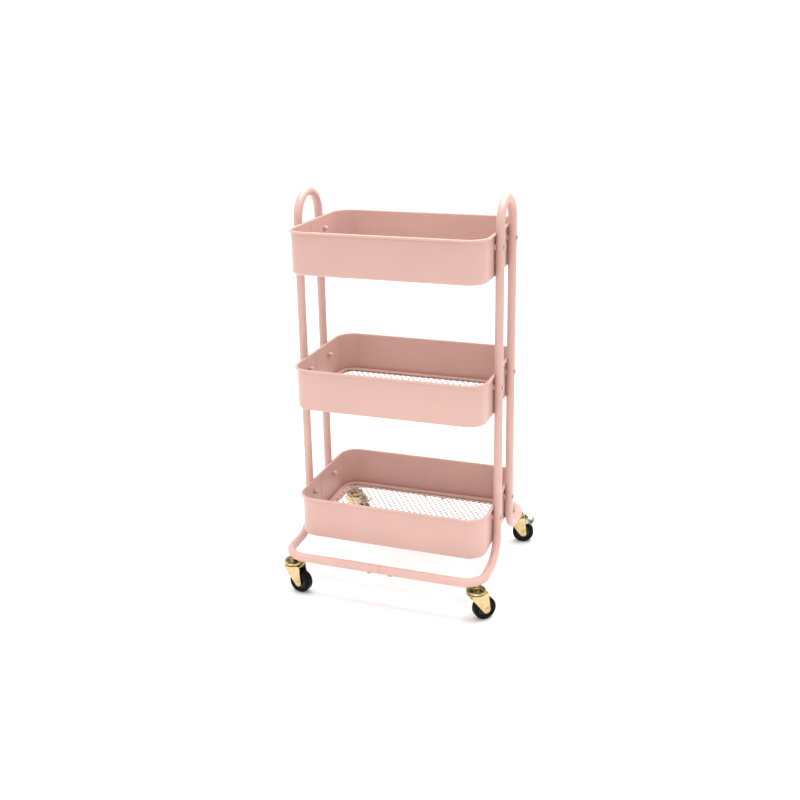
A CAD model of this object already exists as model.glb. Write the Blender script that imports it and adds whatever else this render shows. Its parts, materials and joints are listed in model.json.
"""Looks for the rolling three-tier trolley: coated tube and sheet, expanded mesh floors, plated casters."""
import json
import math
import random

import bmesh
import bpy
from mathutils import Matrix, Vector


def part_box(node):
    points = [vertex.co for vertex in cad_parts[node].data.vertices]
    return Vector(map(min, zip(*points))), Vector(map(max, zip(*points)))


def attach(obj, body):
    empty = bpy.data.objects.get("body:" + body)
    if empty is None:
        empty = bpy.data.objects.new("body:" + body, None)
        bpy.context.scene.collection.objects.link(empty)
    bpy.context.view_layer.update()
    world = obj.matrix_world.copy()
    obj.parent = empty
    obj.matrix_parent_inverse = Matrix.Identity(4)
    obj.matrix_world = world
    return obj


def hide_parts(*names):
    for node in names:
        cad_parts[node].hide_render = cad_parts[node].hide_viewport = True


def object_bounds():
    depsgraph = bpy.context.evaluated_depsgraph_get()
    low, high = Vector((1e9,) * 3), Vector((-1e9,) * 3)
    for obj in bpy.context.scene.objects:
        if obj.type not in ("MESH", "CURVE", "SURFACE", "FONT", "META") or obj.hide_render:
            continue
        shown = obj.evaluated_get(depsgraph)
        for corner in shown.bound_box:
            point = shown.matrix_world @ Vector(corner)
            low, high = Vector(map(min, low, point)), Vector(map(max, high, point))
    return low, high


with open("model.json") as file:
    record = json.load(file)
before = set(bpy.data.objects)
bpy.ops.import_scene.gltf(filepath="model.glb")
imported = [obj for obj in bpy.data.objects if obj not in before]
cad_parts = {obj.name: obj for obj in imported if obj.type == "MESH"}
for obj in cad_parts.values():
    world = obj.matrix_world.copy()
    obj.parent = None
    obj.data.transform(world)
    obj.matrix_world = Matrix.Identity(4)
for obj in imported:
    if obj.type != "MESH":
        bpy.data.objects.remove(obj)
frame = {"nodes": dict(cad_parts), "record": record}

CAD_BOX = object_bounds()
MM = 0.001
TRAYS = ("top", "middle", "bottom")
NODES = frame["nodes"]


# ---------------------------------------------------------------- camera, light and floor

def middle_of(node):
    """The middle of a node's box, in metres."""
    low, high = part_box(node)
    return (low + high) / 2


def add_camera():
    """A lens a little above the handles, right of the front, with its frame shifted down the trolley."""
    azimuth = math.radians(19.08)
    elevation = math.radians(15.60)
    roll = math.radians(-0.90)
    distance = 1.932
    aim_right_of_middle = 0.0010
    aim_height = 0.5194
    target = Vector((middle_of("top_tray_wall").x + aim_right_of_middle, 0.0, aim_height))
    back = Vector((math.sin(azimuth) * math.cos(elevation),
                   -math.cos(azimuth) * math.cos(elevation), math.sin(elevation)))
    level = Vector((math.cos(azimuth), math.sin(azimuth), 0.0))
    upright = back.cross(level)
    right = level * math.cos(roll) + upright * math.sin(roll)
    up = back.cross(right)
    data = bpy.data.cameras.new("camera")
    data.lens = 45.26
    data.sensor_width = 36.0
    data.shift_x = -0.0080
    data.shift_y = -0.100
    data.clip_end = 50.0
    camera = bpy.data.objects.new("camera", data)
    camera.matrix_world = Matrix((right, up, back)).transposed().to_4x4()
    camera.matrix_world.translation = target + back * distance
    bpy.context.scene.collection.objects.link(camera)
    bpy.context.scene.camera = camera


def add_area_light(name, place, aim, size, power, spread=180.0):
    """A soft square light at place, facing aim; a small spread, in degrees, makes a narrow beam."""
    data = bpy.data.lights.new(name, "AREA")
    data.shape = "SQUARE"
    data.size = size
    data.energy = power
    data.spread = math.radians(spread)
    light = bpy.data.objects.new(name, data)
    light.location = place
    light.rotation_euler = (Vector(aim) - Vector(place)).to_track_quat("-Z", "Y").to_euler()
    bpy.context.scene.collection.objects.link(light)


def add_studio():
    """Bright even surroundings, a large light from above, a weak key and fill, and a low narrow beam."""
    world = bpy.data.worlds.new("studio")
    world.use_nodes = True
    background = world.node_tree.nodes["Background"]
    background.inputs["Color"].default_value = (1.0, 0.995, 0.99, 1.0)
    background.inputs["Strength"].default_value = 1.05
    bpy.context.scene.world = world
    bpy.context.scene.view_settings.view_transform = "Standard"
    add_area_light("key_light", place=(-1.4, -2.2, 2.4), aim=(0.0, 0.0, 0.45), size=1.6, power=5.0)
    add_area_light("fill_light", place=(2.2, -1.6, 1.4), aim=(0.0, 0.0, 0.4), size=1.6, power=2.5)
    add_area_light("top_light", place=(0.0, 0.6, 2.8), aim=(0.0, 0.0, 0.0), size=2.6, power=108.0)
    add_area_light("low_light", place=(0.45, -2.4, 0.40), aim=(0.0, 0.0, 0.02), size=0.6, power=0.15,
                   spread=22.0)


def add_floor():
    """A large pale floor, a hair below the wheels."""
    mesh = bpy.data.meshes.new("studio_floor")
    half = 12.0
    gap_below_wheels = 0.0003
    corners = [(-half, -half, 0), (half, -half, 0), (half, half, 0), (-half, half, 0)]
    mesh.from_pydata(corners, [], [(0, 1, 2, 3)])
    mesh.materials.append(Look("pale_floor", (0.96, 0.96, 0.96), 0.8).material)
    floor = bpy.data.objects.new("studio_floor", mesh)
    floor.location.z = CAD_BOX[0][2] - gap_below_wheels
    bpy.context.scene.collection.objects.link(floor)


# ---------------------------------------------------------------- materials

# Colours are in linear light: the coat's blush pink, the mesh strands, greyed by the sheared edges that
# show through their coat, and yellow zinc
BLUSH = (0.575, 0.352, 0.306)
STRAND = (0.30, 0.215, 0.19)
ZINC = (0.70, 0.59, 0.35)


class Look:
    """A principled material with a few node shorthands, all in object coordinates."""

    def __init__(self, name, colour, roughness, metallic=0.0):
        self.material = bpy.data.materials.new(name)
        self.material.use_nodes = True
        self.tree = self.material.node_tree
        self.shader = self.tree.nodes["Principled BSDF"]
        self.shader.inputs["Base Color"].default_value = (*colour, 1.0)
        self.shader.inputs["Roughness"].default_value = roughness
        self.shader.inputs["Metallic"].default_value = metallic
        self.place = self.node("ShaderNodeTexCoord").outputs["Object"]

    def node(self, kind):
        return self.tree.nodes.new(kind)

    def link(self, source, target):
        self.tree.links.new(source, target)

    def noise(self, scale, detail=3.0, stretch=(1.0, 1.0, 1.0)):
        """Noise with features about 1/scale metres across, 0 to 1."""
        mapping = self.node("ShaderNodeMapping")
        mapping.inputs["Scale"].default_value = stretch
        self.link(self.place, mapping.inputs["Vector"])
        noise = self.node("ShaderNodeTexNoise")
        noise.inputs["Scale"].default_value = scale
        noise.inputs["Detail"].default_value = detail
        noise.inputs["Roughness"].default_value = 0.55
        self.link(mapping.outputs["Vector"], noise.inputs["Vector"])
        return noise.outputs["Fac"]

    def spread(self, value, low, high, to_low, to_high):
        """Stretches low..high of a value to to_low..to_high, clamped."""
        ramp = self.node("ShaderNodeMapRange")
        for name, number in zip(("From Min", "From Max", "To Min", "To Max"), (low, high, to_low, to_high)):
            ramp.inputs[name].default_value = number
        self.link(value, ramp.inputs["Value"])
        return ramp.outputs["Result"]

    def sum_up(self, operation, first, second=0.0):
        """A math node; each input is a socket or a number."""
        node = self.node("ShaderNodeMath")
        node.operation = operation
        for socket, value in zip(node.inputs, (first, second)):
            if isinstance(value, float):
                socket.default_value = value
            else:
                self.link(value, socket)
        return node.outputs[0]

    def crevice(self, reach):
        """1 where surfaces within reach metres hide most of the sky, 0 on open faces."""
        hidden, open_sky = 0.15, 0.70
        node = self.node("ShaderNodeAmbientOcclusion")
        node.samples = 8
        node.inputs["Distance"].default_value = reach
        return self.spread(node.outputs["AO"], hidden, open_sky, 1.0, 0.0)

    def mix(self, factor, first, second):
        """Mixes two colours, each a tuple or a socket."""
        mix = self.node("ShaderNodeMix")
        mix.data_type = "RGBA"
        self.link(factor, mix.inputs[0])
        for socket, colour in ((mix.inputs[6], first), (mix.inputs[7], second)):
            if isinstance(colour, tuple):
                socket.default_value = (*colour, 1.0)
            else:
                self.link(colour, socket)
        return mix.outputs[2]

    def mottle(self, noise, low, high, first, second):
        """A noise drawn as two colours, which blend where it lies between low and high."""
        return self.mix(self.spread(noise, low, high, 0.0, 1.0), first, second)

    def paint(self, socket):
        """Sets the surface colour."""
        self.link(socket, self.shader.inputs["Base Color"])

    def uneven(self, noise, smoothest, roughest):
        """A roughness that follows a noise."""
        return self.spread(noise, 0.3, 0.7, smoothest, roughest)

    def gloss(self, socket):
        """Sets the roughness."""
        self.link(socket, self.shader.inputs["Roughness"])

    def relief(self, *layers):
        """Stacks bumps: each layer is (height socket, strength, depth in metres)."""
        normal = None
        for height, strength, depth in layers:
            bump = self.node("ShaderNodeBump")
            bump.inputs["Strength"].default_value = strength
            bump.inputs["Distance"].default_value = depth
            self.link(height, bump.inputs["Height"])
            if normal:
                self.link(normal, bump.inputs["Normal"])
            normal = bump.outputs["Normal"]
        self.link(normal, self.shader.inputs["Normal"])


def shade(colour, factor):
    """A colour made darker or lighter by a factor."""
    return tuple(min(1.0, channel * factor) for channel in colour)


def powder_coat(name, colour, peel=1.0):
    """Satin powder coat: fine orange peel, faint mottling, uneven gloss; dark and dull in narrow gaps."""
    shadow = (0.16, 0.055, 0.045)
    look = Look(name, colour, 0.42)
    cloud = look.noise(9.0, detail=2.0)
    grain = look.noise(900.0, detail=2.0)
    speck = look.noise(2600.0, detail=1.0)
    base = look.mottle(cloud, 0.3, 0.7, shade(colour, 0.975), shade(colour, 1.025))
    coat = look.mix(look.spread(speck, 0.62, 0.8, 0.0, 0.10), base, shade(colour, 1.25))
    gap = look.crevice(4.0 * MM)
    look.paint(look.mix(gap, coat, shadow))
    satin = look.uneven(look.noise(35.0), 0.36, 0.48)
    look.gloss(look.sum_up("MAXIMUM", satin, gap))
    look.relief((grain, 0.22 * peel, 0.0004), (speck, 0.12 * peel, 0.0002))
    look.shader.inputs["Specular IOR Level"].default_value = 0.5
    look.shader.inputs["Coat Weight"].default_value = 0.12
    look.shader.inputs["Coat Roughness"].default_value = 0.25
    return look.material


def yellow_zinc(name):
    """Pale yellow zinc plating: straw gold with an olive shimmer and fine drawing marks."""
    gold, straw = (0.54, 0.41, 0.19), (0.64, 0.51, 0.29)
    olive, shadow = (0.36, 0.31, 0.11), (0.10, 0.07, 0.02)
    look = Look(name, ZINC, 0.26, metallic=1.0)
    patch = look.noise(60.0, detail=2.0)
    base = look.mottle(look.noise(110.0), 0.35, 0.65, gold, straw)
    zinc = look.mix(look.spread(patch, 0.52, 0.75, 0.0, 0.55), base, olive)
    look.paint(look.mix(look.crevice(6.0 * MM), zinc, shadow))
    look.gloss(look.uneven(look.noise(260.0, detail=4.0), 0.20, 0.36))
    look.relief((look.noise(700.0, stretch=(1.0, 1.0, 0.2)), 0.25, 0.0002))
    return look.material


def dull_zinc(name):
    """Darker, greyer plating of the brake pedals, worn by shoes."""
    dull, worn = (0.24, 0.21, 0.14), (0.44, 0.40, 0.30)
    look = Look(name, (0.30, 0.27, 0.19), 0.38, metallic=1.0)
    look.paint(look.mottle(look.noise(150.0), 0.4, 0.65, dull, worn))
    look.gloss(look.uneven(look.noise(300.0, detail=4.0), 0.28, 0.48))
    look.relief((look.noise(700.0), 0.25, 0.0002))
    return look.material


def distance_from_nearest_stem(look):
    """How far a point is in plan from the nearest caster stem; the four stems are mirror images."""
    stem = middle_of("front_left_swivel_stem")
    cart_x = middle_of("top_tray_wall").x
    axes = look.node("ShaderNodeSeparateXYZ")
    look.link(look.place, axes.inputs[0])
    from_middle = look.sum_up("ABSOLUTE", look.sum_up("SUBTRACT", axes.outputs["X"], cart_x))
    across = look.sum_up("SUBTRACT", from_middle, abs(stem.x - cart_x))
    along = look.sum_up("SUBTRACT", look.sum_up("ABSOLUTE", axes.outputs["Y"]), abs(stem.y))
    squares = look.sum_up("ADD", look.sum_up("POWER", look.sum_up("ABSOLUTE", across), 2.0),
                          look.sum_up("POWER", look.sum_up("ABSOLUTE", along), 2.0))
    return look.sum_up("SQRT", squares)


def dished_zinc(name):
    """The same plating on the swivel heads: dark in the dish round the stem, bright on rim and collar."""
    stained, bright, dark = (0.28, 0.22, 0.07), (0.66, 0.56, 0.33), (0.05, 0.032, 0.005)
    look = Look(name, ZINC, 0.3, metallic=1.0)
    radius = distance_from_nearest_stem(look)
    within_rim = look.spread(radius, 14.5 * MM, 16.5 * MM, 1.0, 0.0)
    beyond_collar = look.spread(radius, 7.0 * MM, 8.5 * MM, 0.0, 1.0)
    dish = look.sum_up("MULTIPLY", within_rim, beyond_collar)
    blotch = look.spread(look.noise(130.0, detail=2.0), 0.38, 0.62, 0.25, 1.0)
    plating = look.mottle(look.noise(90.0), 0.4, 0.6, stained, bright)
    look.paint(look.mix(look.sum_up("MULTIPLY", dish, blotch), plating, dark))
    look.gloss(look.uneven(look.noise(260.0, detail=4.0), 0.22, 0.38))
    look.relief((look.noise(700.0), 0.25, 0.0002))
    return look.material


def plain_steel(name):
    """Turned or drawn bare steel with fine marks and a touch of dulling."""
    clean, dulled = (0.60, 0.59, 0.57), (0.44, 0.43, 0.41)
    look = Look(name, (0.56, 0.55, 0.53), 0.32, metallic=1.0)
    look.paint(look.mottle(look.noise(140.0), 0.35, 0.7, clean, dulled))
    look.gloss(look.uneven(look.noise(420.0, detail=4.0), 0.24, 0.42))
    look.relief((look.noise(1500.0, stretch=(1.0, 1.0, 0.15)), 0.2, 0.0001))
    return look.material


def moulded_black(name):
    """Black nylon of the wheel centres, with a fine moulded grain."""
    deep, greyed = (0.006, 0.006, 0.007), (0.013, 0.013, 0.014)
    look = Look(name, (0.008, 0.008, 0.009), 0.45)
    look.shader.inputs["Specular IOR Level"].default_value = 0.25
    look.paint(look.mottle(look.noise(90.0), 0.3, 0.7, deep, greyed))
    look.gloss(look.uneven(look.noise(300.0), 0.36, 0.52))
    look.relief((look.noise(2200.0, detail=2.0), 0.3, 0.0002))
    return look.material


def tyre_rubber(name):
    """Black rubber with little shine and some pale dust caught in its grain."""
    deep, greyed, pale = (0.002, 0.002, 0.002), (0.006, 0.006, 0.006), (0.06, 0.057, 0.052)
    look = Look(name, (0.006, 0.006, 0.006), 0.45)
    look.shader.inputs["Specular IOR Level"].default_value = 0.07
    dust = look.noise(600.0, detail=4.0)
    base = look.mottle(look.noise(70.0), 0.3, 0.7, deep, greyed)
    look.paint(look.mix(look.spread(dust, 0.60, 0.8, 0.0, 0.25), base, pale))
    look.gloss(look.uneven(dust, 0.34, 0.56))
    look.relief((look.noise(1300.0), 0.4, 0.0003))
    return look.material


def dark_crevice(name):
    """The shaded, unpainted depth of a closed joint, with a little rust in it."""
    look = Look(name, (0.10, 0.045, 0.035), 0.8)
    look.paint(look.mix(look.noise(300.0), (0.07, 0.03, 0.024), (0.15, 0.07, 0.055)))
    look.gloss(look.uneven(look.noise(800.0), 0.7, 0.9))
    look.relief((look.noise(1200.0), 0.3, 0.0002))
    return look.material


MATERIALS = {
    "powder_coat": powder_coat("powder_coat_tube", BLUSH),
    "powder_coat_sheet": powder_coat("powder_coat_sheet", BLUSH),
    "powder_coat_mesh": powder_coat("powder_coat_mesh", shade(BLUSH, 1.03), peel=0.6),
    "mesh_strands": powder_coat("mesh_strands", STRAND, peel=0.6),
    "powder_coat_fastener": powder_coat("powder_coat_fastener", shade(BLUSH, 1.02), peel=0.5),
    "yellow_zinc": yellow_zinc("yellow_zinc"),
    "dished_zinc": dished_zinc("dished_zinc"),
    "dull_zinc": dull_zinc("dull_zinc"),
    "bare_steel": plain_steel("bare_steel"),
    "wheel_plastic": moulded_black("wheel_plastic"),
    "tyre_rubber": tyre_rubber("tyre_rubber"),
    "crevice": dark_crevice("seam_crevice"),
}


def dress_cad_nodes():
    """Gives every carried-over node its slot's material; swivel heads and pedals have their own plating."""
    own_plating = {"swivel_stem": "dished_zinc", "brake_pedal": "dull_zinc"}
    for part in frame["record"]["subparts"]:
        ending = "_".join(part["node"].split("_")[-2:])
        material = own_plating.get(ending, part["material_slot"])
        NODES[part["node"]].data.materials.clear()
        NODES[part["node"]].data.materials.append(MATERIALS[material])


def add_piece(name, mesh, material):
    """Puts a finished bmesh into the scene as a piece of the cart."""
    bmesh.ops.recalc_face_normals(mesh, faces=mesh.faces)
    data = bpy.data.meshes.new(name)
    mesh.to_mesh(data)
    mesh.free()
    data.materials.append(MATERIALS[material])
    piece = bpy.data.objects.new(name, data)
    bpy.context.scene.collection.objects.link(piece)
    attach(piece, "cart")
    return piece


# ---------------------------------------------------------------- expanded mesh floors

# The floor's corner radius, the width of its solid border and the thickness of its plate
FLOOR_RADIUS = 31.8 * MM
BORDER = 12.0 * MM
PLATE = 1.2 * MM


def rounded_outline(half_l, half_d, radius, steps=12):
    """Corner points of a rounded rectangle round the origin, anticlockwise."""
    points = []
    for sign_x, sign_y, start in ((1, 1, 0), (-1, 1, 90), (-1, -1, 180), (1, -1, 270)):
        for i in range(steps + 1):
            angle = math.radians(start + 90.0 * i / steps)
            points.append(Vector((sign_x * (half_l - radius) + radius * math.cos(angle),
                                  sign_y * (half_d - radius) + radius * math.sin(angle))))
    return points


def inside_rounded(point, half_l, half_d, radius):
    """Whether a plan point lies inside a rounded rectangle round the origin."""
    over_x = max(abs(point.x) - (half_l - radius), 0.0)
    over_y = max(abs(point.y) - (half_d - radius), 0.0)
    return math.hypot(over_x, over_y) <= radius


def border_ring(mesh, half_l, half_d, radius, width, z_low, z_high):
    """A flat rounded-rectangle ring of the given width."""
    outer = rounded_outline(half_l, half_d, radius)
    inner = rounded_outline(half_l - width, half_d - width, radius - width)
    loops = [[mesh.verts.new((p.x, p.y, z)) for p in loop]
             for loop, z in ((outer, z_low), (outer, z_high), (inner, z_high), (inner, z_low))]
    count = len(outer)
    for i in range(count):
        j = (i + 1) % count
        for a, b in ((0, 1), (1, 2), (2, 3), (3, 0)):
            mesh.faces.new((loops[a][i], loops[a][j], loops[b][j], loops[b][i]))


def diamond_cell(mesh, cx, cy, pitch_x, pitch_y, strand, z_mid, thickness, tilt):
    """One expanded-mesh cell: a solid diamond frame round a diamond hole with clipped corners."""
    clipped = 0.10
    corner = (Vector((pitch_x / 2, 0)), Vector((0, pitch_y / 2)),
              Vector((-pitch_x / 2, 0)), Vector((0, -pitch_y / 2)))
    middle_to_side = corner[0].length * corner[1].length / (corner[0] - corner[1]).length
    shrink = 1.0 - strand / 2 / middle_to_side
    hole = []
    for i in range(4):
        for toward in (corner[i - 1], corner[(i + 1) % 4]):
            hole.append(corner[i].lerp(toward, clipped) * shrink)
    rings = []
    for z_side in (-1, 1):
        z = z_mid + z_side * thickness / 2
        rings.append([mesh.verts.new((cx + p.x, cy + p.y, z + tilt * p.y / (pitch_y / 2))) for p in hole])
        rings.append([mesh.verts.new((cx + p.x, cy + p.y, z)) for p in corner])
    low_hole, low_corner, high_hole, high_corner = rings
    for i in range(4):
        j = (i + 1) % 4
        back, first, second = 2 * i, 2 * i + 1, (2 * i + 2) % 8
        mesh.faces.new((high_corner[i], high_corner[j], high_hole[second], high_hole[first]))
        mesh.faces.new((low_corner[j], low_corner[i], low_hole[first], low_hole[second]))
        mesh.faces.new((high_corner[i], high_hole[first], high_hole[back]))
        mesh.faces.new((low_corner[i], low_hole[back], low_hole[first]))
    for i in range(8):
        j = (i + 1) % 8
        mesh.faces.new((high_hole[i], high_hole[j], low_hole[j], low_hole[i]))


def floor_edging(mesh, half_l, half_d, z_low, z_high):
    """The solid border of a mesh floor, and the skirt it stands on."""
    skirt_inset, skirt = 2.4 * MM, 1.2 * MM
    border_ring(mesh, half_l, half_d, FLOOR_RADIUS, BORDER, z_high - PLATE, z_high)
    border_ring(mesh, half_l - skirt_inset, half_d - skirt_inset, FLOOR_RADIUS - skirt_inset, skirt,
                z_low, z_high - PLATE)


def diamond_panel(mesh, half_l, half_d, z_mid):
    """The expanded mesh inside the border: staggered diamond cells, joined where they meet."""
    pitch_x, pitch_y, strand = 12.1 * MM, 18.2 * MM, 1.6 * MM
    thickness, tilt = 0.8 * MM, 0.25 * MM
    tuck = 1.5 * MM
    columns = int(half_l / pitch_x * 2) + 2
    rows = int(half_d / pitch_y * 2) + 2
    for row in range(-rows, rows + 1):
        for column in range(-columns, columns + 1):
            if (row + column) % 2:
                continue
            spot = Vector((column * pitch_x / 2, row * pitch_y / 2))
            if inside_rounded(spot, half_l - BORDER + tuck, half_d - BORDER + tuck, FLOOR_RADIUS - BORDER):
                diamond_cell(mesh, spot.x, spot.y, pitch_x, pitch_y, strand, z_mid, thickness, tilt)
    bmesh.ops.remove_doubles(mesh, verts=mesh.verts, dist=0.02 * MM)


def mesh_floor(tray):
    """Expanded mesh panel with a solid border and skirt, in the place of the plain CAD floor."""
    node = f"{tray}_tray_mesh_floor"
    low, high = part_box(node)
    centre = middle_of(node)
    half_l, half_d = (high.x - low.x) / 2, (high.y - low.y) / 2
    edging_mesh = bmesh.new()
    floor_edging(edging_mesh, half_l, half_d, low.z, high.z)
    bmesh.ops.translate(edging_mesh, verts=edging_mesh.verts, vec=(centre.x, centre.y, 0.0))
    edging = add_piece(f"{tray}_mesh_border", edging_mesh, "powder_coat_mesh")
    panel_mesh = bmesh.new()
    diamond_panel(panel_mesh, half_l, half_d, high.z - PLATE / 2)
    bmesh.ops.translate(panel_mesh, verts=panel_mesh.verts, vec=(centre.x, centre.y, 0.0))
    panel = add_piece(f"{tray}_expanded_mesh", panel_mesh, "mesh_strands")
    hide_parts(node)
    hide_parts(node)


# ---------------------------------------------------------------- sheet seams

def seam_strip(mesh, x_low, x_high, z_low, z_high, wander):
    """A thin upright strip whose width and middle wander a little, as a closed sheet joint does."""
    steps = 30
    rings = []
    for i in range(steps + 1):
        z = z_low + (z_high - z_low) * i / steps
        middle = wander.uniform(-0.06, 0.06) * MM
        half = wander.uniform(0.44, 0.58) * MM
        rings.append([mesh.verts.new((x, middle + y, z))
                      for x, y in ((x_low, -half), (x_high, -half), (x_high, half), (x_low, half))])
    for low, high in zip(rings, rings[1:]):
        for a in range(4):
            b = (a + 1) % 4
            mesh.faces.new((low[a], low[b], high[b], high[a]))
    mesh.faces.new(rings[0])
    mesh.faces.new(rings[-1])


def wall_seam(tray):
    """The butt joint of the sheet near the middle of the left short end, on both of its faces."""
    low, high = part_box(f"{tray}_tray_wall")
    seam_y = -15.0 * MM
    rim_proud, sheet, margin = 4.6 * MM, 1.0 * MM, 7.0 * MM
    depth, proud = 0.3 * MM, 0.05 * MM
    outer, inner = low.x + rim_proud, low.x + rim_proud + sheet
    wander = random.Random(tray)
    mesh = bmesh.new()
    seam_strip(mesh, outer - proud, outer + depth, low.z + margin, high.z - margin, wander)
    seam_strip(mesh, inner - depth, inner + proud, low.z + margin, high.z - margin, wander)
    bmesh.ops.translate(mesh, verts=mesh.verts, vec=(0.0, seam_y, 0.0))
    add_piece(f"{tray}_wall_seam", mesh, "crevice")


add_camera()
add_studio()
add_floor()
dress_cad_nodes()
for tray in TRAYS:
    mesh_floor(tray)
    wall_seam(tray)
